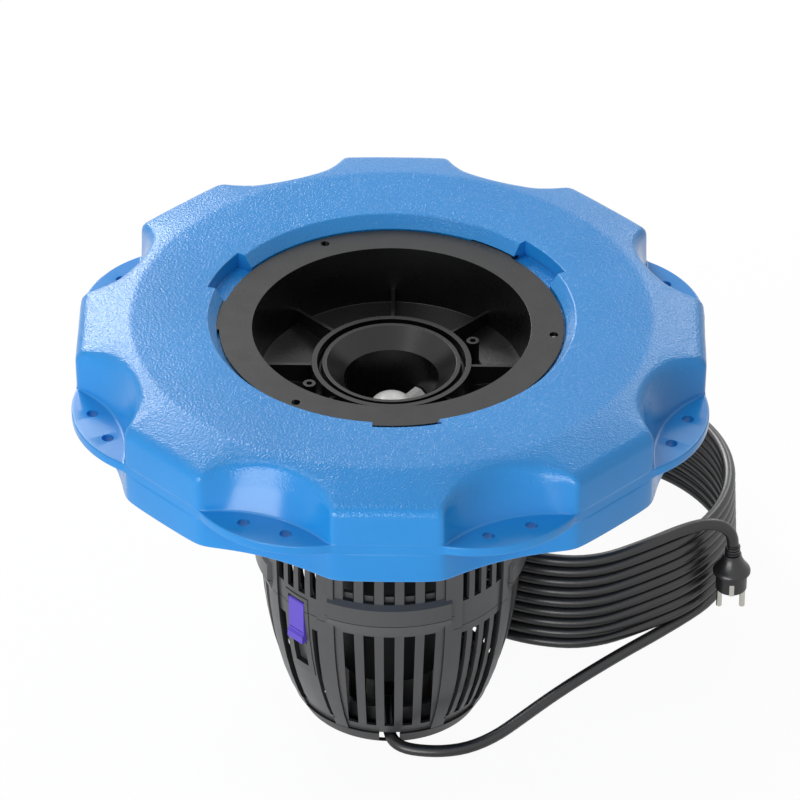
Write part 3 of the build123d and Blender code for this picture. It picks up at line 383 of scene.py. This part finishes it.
def wound_coil():
    """Points of the coil: turns that lie on each other and lean in a little towards the top.

    Each turn lies level and climbs by one pitch just before it comes round to the cable that
    runs in on the floor. The climb is x^2 (3 - 2x), with x from 0 to 1 between the shares 0.89
    and 0.975 of a turn. The radius falls and the middle moves in a straight line with the height.
    """
    along = np.arange(1, coil_turns * coil_points + 1) / coil_points
    angle = np.radians(coil_start + 360.0 * along)
    turn = np.floor(along)
    x = np.clip((along - turn - 0.89) / 0.085, 0.0, 1.0)
    level = turn + x**2 * (3 - 2 * x)
    up = along / coil_turns
    radius = coil_foot_radius - coil_lean * up
    return np.stack(
        [
            coil_middle[0] + coil_drift[0] * up + radius * np.cos(angle),
            coil_middle[1] + coil_drift[1] * up + radius * np.sin(angle),
            coil_foot + turn_pitch * level,
        ],
        axis=-1,
    )


cable_line = np.concatenate([np.array(lead_points), wound_coil(), np.array(tail_points)]) * MM


def cable_curve(name, line, radius):
    """A round smooth tube whose control points are the line."""
    curve = bpy.data.curves.new(name, "CURVE")
    curve.dimensions = "3D"
    curve.resolution_u = 3
    curve.bevel_depth = radius
    curve.bevel_resolution = 5
    curve.use_fill_caps = True
    spline = curve.splines.new("NURBS")
    spline.points.add(len(line) - 1)
    spline.points.foreach_set("co", np.c_[line, np.ones(len(line))].ravel())
    spline.order_u = 3
    spline.use_endpoint_u = True
    piece = bpy.data.objects.new(name, curve)
    bpy.context.scene.collection.objects.link(piece)
    return piece


cable = cable_curve("mains_cable", cable_line, cable_radius * MM)
finish_piece(cable, "cable_rubber", "pump", ["cable_lead", "cable_coil", "cable_tail"])


# Float: a profile for each direction, carried round the axis
float_top = 368.0
float_foot = 291.0
float_bore = 131.6
lobe_radius = 250.0
lobe_flat = 246.2
notch_half = math.radians(12.5)
crown_radius = 205.3
crown_fall = 10.0
flange_top = 325.6
flange_under = 317.7
lobe_pitch = 45.0
recess_radius = 144.5
recess_foot_radius = 137.3
recess_floor = 358.6
channel_foot = 353.85
channel_top = 358.45
channel_radius = 143.3
pocket_radius = 150.5
pocket_half = 10.3
twist = 19.3


def reach_of_arc(turned_by, middle):
    """Distance of a notch's arc from the axis, in the direction turned_by from the notch's middle.

    The arc runs from corner to corner of the notch and through the point at the distance middle.
    Its centre lies on the notch's middle line.
    """
    corner = lobe_radius * math.cos(notch_half)
    centre = (lobe_radius**2 - middle**2) / (2 * (corner - middle))
    radius = abs(middle - centre)
    side = np.sign(middle - centre)
    under_root = radius**2 - (centre * np.sin(turned_by)) ** 2
    return centre * np.cos(turned_by) + side * np.sqrt(np.maximum(under_root, 0.0))


def lesser(first, second, soften):
    """The smaller of two, with a rounded change from one to the other."""
    return 0.5 * (first + second - np.sqrt((first - second) ** 2 + soften**2)) + soften * 0.15


half_notch = np.concatenate(
    [np.linspace(0.0, 10.4, 15), np.linspace(10.8, 13.8, 16), np.linspace(14.3, 22.5, 9)]
)
in_notch = np.concatenate([-half_notch[:0:-1], half_notch[:-1]])
notch_places = 22.5 + lobe_pitch * np.arange(8)
all_round = (in_notch[None, :] + notch_places[:, None]).ravel() % 360.0

tab_places = 54.6 + 120.0 * np.arange(3)
entry_places = tab_places - twist
channel_ends = tab_places + 8.4 + 0.12
step = 0.04
edges = np.concatenate([entry_places - pocket_half, entry_places + pocket_half, channel_ends])
all_round = np.sort(np.concatenate([all_round, (edges - step) % 360, (edges + step) % 360]))
direction = np.radians(all_round)

from_notch = np.radians((all_round % 45.0) - 22.5)
from_lobe = np.radians((all_round + 22.5) % 45.0 - 22.5)
lobe_reach = lobe_flat / np.cos(from_lobe)
scoop_top = lesser(lobe_reach, reach_of_arc(from_notch, 215.0), 6.0)
scoop_foot = lesser(lobe_reach, reach_of_arc(from_notch, 228.0), 4.5)
in_notch_arc = np.abs(from_notch) <= notch_half
flange_rim = np.where(in_notch_arc, reach_of_arc(from_notch, 261.5), lobe_reach)
skirt_top = lesser(lobe_reach, reach_of_arc(from_notch, 230.0), 4.5)
skirt_foot = lesser(lobe_reach, reach_of_arc(from_notch, 235.6), 6.0)


def between(places, low, high):
    """Whether each direction lies between low and high degrees past one of the places."""
    past = (all_round[:, None] - places[None, :] + 180.0) % 360.0 - 180.0
    return ((past > low) & (past < high)).any(axis=1)


in_pocket = between(entry_places, -pocket_half, pocket_half)
in_channel = between(tab_places, pocket_half - twist - 0.1, 8.52)
recess_rim = np.where(in_pocket, pocket_radius, recess_radius)
recess_foot = np.where(in_pocket, pocket_radius, recess_foot_radius)
channel_wall = np.where(
    in_pocket, pocket_radius, np.where(in_channel, channel_radius, recess_foot_radius)
)

rim_height = float_top - crown_fall * (scoop_top - crown_radius) / (lobe_radius - crown_radius)
thin = np.maximum(0.0, 1.0 - (flange_rim - scoop_foot) / 2.0)
corners = [
    (recess_rim, float_top),
    (crown_radius, float_top),
    (scoop_top, rim_height),
    (scoop_foot, flange_top + thin),
    (flange_rim, flange_top),
    (flange_rim, flange_under),
    (skirt_top, flange_under - thin),
    (skirt_foot, float_foot),
    (float_bore, float_foot),
    (float_bore, channel_foot),
    (channel_wall, channel_foot),
    (channel_wall, channel_top),
    (recess_foot, recess_floor),
]
profiles = np.stack(
    [np.stack(np.broadcast_arrays(*corner, direction)[:2], -1) for corner in corners], axis=1
)
cuts = np.array([1.2, 3.0, 9.5, 1.6, 1.4, 1.4, 1.2, 2.6, 1.5, 0.6, 0.5, 0.3, 0.6])
float_outline = rounded(profiles, cuts, 6)
float_points = np.stack(
    [
        float_outline[..., 0] * np.cos(direction)[:, None],
        float_outline[..., 0] * np.sin(direction)[:, None],
        float_outline[..., 1],
    ],
    axis=-1,
)
float_piece = surface(
    "float_body",
    float_points.reshape(-1, 3),
    ring_faces(len(direction), float_outline.shape[1]),
    40.0,
)
facing_out(float_piece)

# Eyelets: two holes through each flange
eyelet_radius = 4.7
eyelet_circle = 244.1
eyelet_aside = np.array([-4.13, 4.13])
hole_angle = np.radians(notch_places[:, None] + eyelet_aside).ravel()
turn_round = np.linspace(0.0, 2 * np.pi, 33)[:-1]
hole_ring = eyelet_radius * np.stack([np.cos(turn_round), np.sin(turn_round)], -1)
hole_middle = eyelet_circle * np.stack([np.cos(hole_angle), np.sin(hole_angle)], -1)
hole_wall = hole_middle[:, None, :] + hole_ring
corner_count = len(turn_round)
drill_points = []
drill_faces = []
for ring in hole_wall:
    first = len(drill_points)
    for height in (314.0, 330.0):
        drill_points += [(x, y, height) for x, y in ring]
    low = np.arange(corner_count) + first
    high = low + corner_count
    drill_faces += [low[::-1].tolist(), high.tolist()]
    drill_faces += np.stack([low, np.roll(low, -1), np.roll(high, -1), high], -1).tolist()
drill_mesh = bpy.data.meshes.new("drill")
drill_mesh.from_pydata((np.array(drill_points) * MM).tolist(), [], drill_faces)
drill = bpy.data.objects.new("drill", drill_mesh)
bpy.context.scene.collection.objects.link(drill)
cut = float_piece.modifiers.new("eyelets", "BOOLEAN")
cut.operation = "DIFFERENCE"
cut.solver = "EXACT"
cut.object = drill
graph = bpy.context.evaluated_depsgraph_get()
drilled = bpy.data.meshes.new_from_object(float_piece.evaluated_get(graph))
float_piece.modifiers.clear()
float_piece.data = drilled
bpy.data.objects.remove(drill)
drilled.set_sharp_from_angle(angle=math.radians(40.0))
finish_piece(float_piece, "float_plastic", "float", ["float_shell"])

# Bowl, throat, propeller and the rest of the small mouldings
dressed("bowl", "pump", "black_plastic", 0.5, "bowl_plastic")
dressed("throat_ring", "pump", "black_plastic", 0.5, "bowl_plastic")
# The strainer halves take the basket finish, whose inward faces carry painted shade
dressed("strainer_upper", "pump", "black_plastic", 0.5, "basket_plastic")
dressed("strainer_lower", "pump", "black_plastic", 0.5, "basket_plastic")
dressed("base_cap", "pump", "black_plastic", 0.5)
dressed("latch_left", "left_latch", "latch_plastic", 0.7)
dressed("latch_right", "right_latch", "latch_plastic", 0.7)
dressed("propeller", "rotor", "propeller_plastic", 0.5)
dressed("propeller_cap", "rotor", "propeller_plastic", 0.5)
plug = dressed("plug_body", "pump", "cable_rubber", 0.6)
dressed("motor_can", "pump", "motor_steel", 0.4)
dressed("motor_cover", "pump", "black_plastic", 0.4, "bowl_plastic")

slots = {part["node"]: part["material_slot"] for part in frame["record"]["subparts"]}
for node_name, node_object in nodes.items():
    node_object.data.materials.clear()
    node_object.data.materials.append(finishes[slots[node_name]])

# Studio: a pale floor, a white surrounding and four soft lamps
floor_reach = 8.0
floor_height = -0.0005
floor_mesh = bpy.data.meshes.new("floor")
floor_corners = [
    (x * floor_reach, y * floor_reach, floor_height)
    for x, y in ((-1, -1), (1, -1), (1, 1), (-1, 1))
]
floor_mesh.from_pydata(floor_corners, [], [(0, 1, 2, 3)])
floor = bpy.data.objects.new("floor", floor_mesh)
bpy.context.scene.collection.objects.link(floor)
floor_finish, tree, shader, _ = new_finish("floor_white")
shader.inputs["Base Color"].default_value = (0.9, 0.9, 0.9, 1.0)
shader.inputs["Roughness"].default_value = 0.9


def straight_rays(tree, camera_share, mirror_share):
    """Share of plain white that camera, mirror and glass rays see; no other ray sees it."""
    path = tree.nodes.new("ShaderNodeLightPath")
    total = spread(tree, path.outputs["Is Camera Ray"], 0.0, 1.0, 0.0, camera_share)
    for ray in ("Is Glossy Ray", "Is Transmission Ray"):
        either = tree.nodes.new("ShaderNodeMath")
        either.operation = "MAXIMUM"
        tree.links.new(total, either.inputs[0])
        part = spread(tree, path.outputs[ray], 0.0, 1.0, 0.0, mirror_share)
        tree.links.new(part, either.inputs[1])
        total = either.outputs[0]
    return total


def mixed(tree, share, first, second, output):
    """The first shader, with a share of the second."""
    blend = tree.nodes.new("ShaderNodeMixShader")
    for number, source in enumerate((share, first.outputs[0], second.outputs[0])):
        tree.links.new(source, blend.inputs[number])
    tree.links.new(blend.outputs[0], tree.nodes[output].inputs["Surface"])


white = tree.nodes.new("ShaderNodeEmission")
white.inputs["Color"].default_value = (1.0, 1.0, 1.0, 1.0)
white.inputs["Strength"].default_value = 1.0
mixed(tree, straight_rays(tree, 0.95, 0.5), shader, white, "Material Output")
floor_mesh.materials.append(floor_finish)

world = bpy.data.worlds.new("studio")
world.use_nodes = True
bpy.context.scene.world = world
tree = world.node_tree
ambient = tree.nodes["Background"]
ambient.inputs["Color"].default_value = (1.0, 1.0, 1.0, 1.0)
ambient.inputs["Strength"].default_value = 0.36
backdrop = tree.nodes.new("ShaderNodeBackground")
backdrop.inputs["Color"].default_value = (1.0, 1.0, 1.0, 1.0)
backdrop.inputs["Strength"].default_value = 1.0
mixed(tree, straight_rays(tree, 1.0, 1.0), ambient, backdrop, "World Output")


def lamp(name, place, width, height, power):
    """An upright soft lamp that looks at the float."""
    data = bpy.data.lights.new(name, "AREA")
    data.shape = "RECTANGLE"
    data.size = width
    data.size_y = height
    data.energy = power
    light = bpy.data.objects.new(name, data)
    bpy.context.scene.collection.objects.link(light)
    light.location = place
    aim = Vector((0.0, 0.0, 0.3)) - Vector(place)
    light.rotation_euler = aim.to_track_quat("-Z", "Y").to_euler()


lamp("back_left", (-1.15, 2.4, 1.8), 0.9, 2.0, 54.0)
lamp("back_right", (1.05, 2.4, 1.95), 0.8, 1.6, 17.0)
lamp("above", (-1.0, -0.5, 2.8), 1.2, 1.2, 20.0)
lamp("front_left", (-1.1, -2.4, 0.5), 2.0, 0.9, 40.0)

bpy.context.scene.view_settings.view_transform = "Standard"
